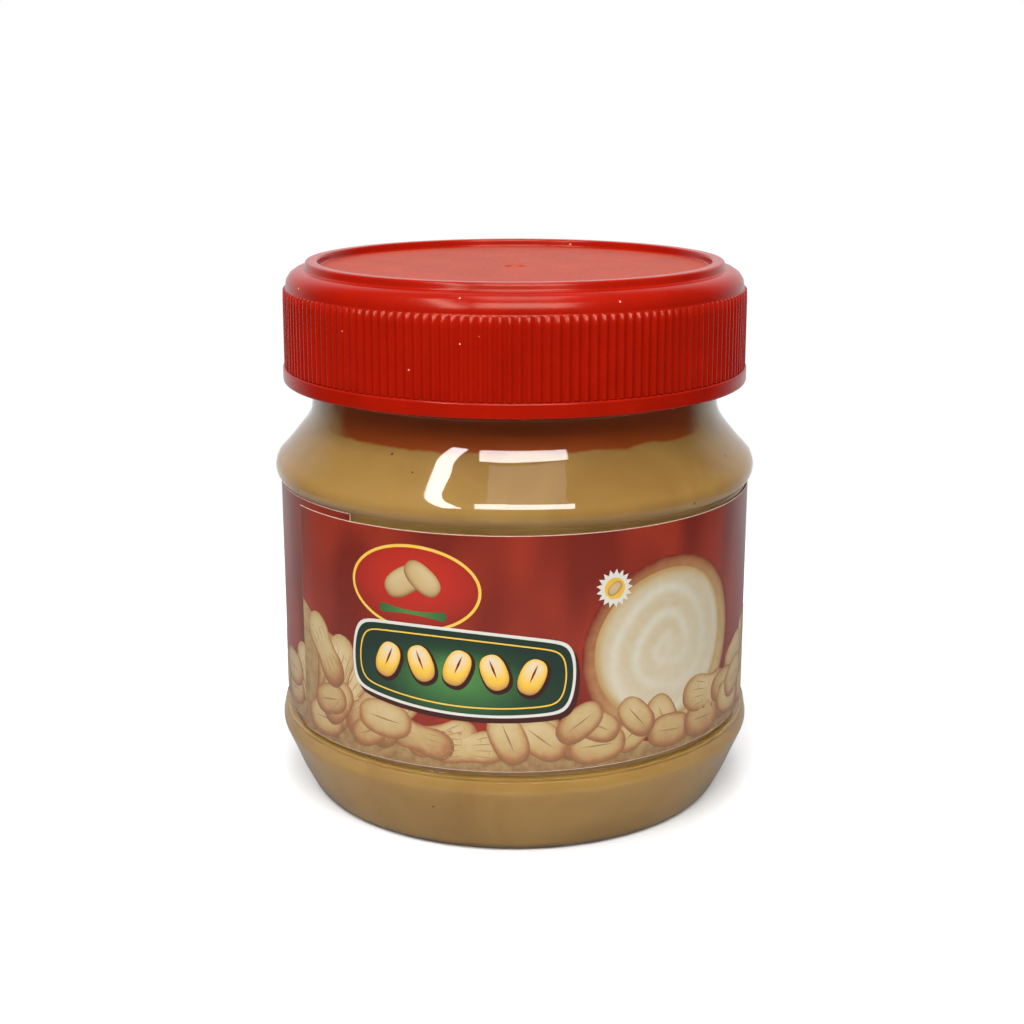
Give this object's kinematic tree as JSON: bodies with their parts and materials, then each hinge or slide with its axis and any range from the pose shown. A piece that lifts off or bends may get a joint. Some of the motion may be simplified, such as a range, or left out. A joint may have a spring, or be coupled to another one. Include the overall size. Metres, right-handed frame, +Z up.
{
  "type": "jar of peanut butter",
  "caption": "Small clear jar full of peanut butter, with a wide shoulder, a wrap label and a red ribbed screw cap.",
  "frame": {"origin": "middle of the foot, on the surface that the jar stands on", "axes": "+Z up along the jar's axis, the front of the label towards -Y"},
  "size_m": [0.0686, 0.0686, 0.0762],
  "materials": {
    "clear_pet": "clear blow-moulded PET, glossy",
    "peanut_butter": "smooth tan peanut butter, soft sheen",
    "red_polypropylene": "moulded red polypropylene, satin, matt top panel",
    "printed_paper": "coated paper label, printed red and tan, semi-gloss"
  },
  "bodies": {
    "root": {"jar": "clear_pet", "peanut_butter": "peanut_butter", "lid": "red_polypropylene", "label": "printed_paper"}
  },
  "joints": []
}
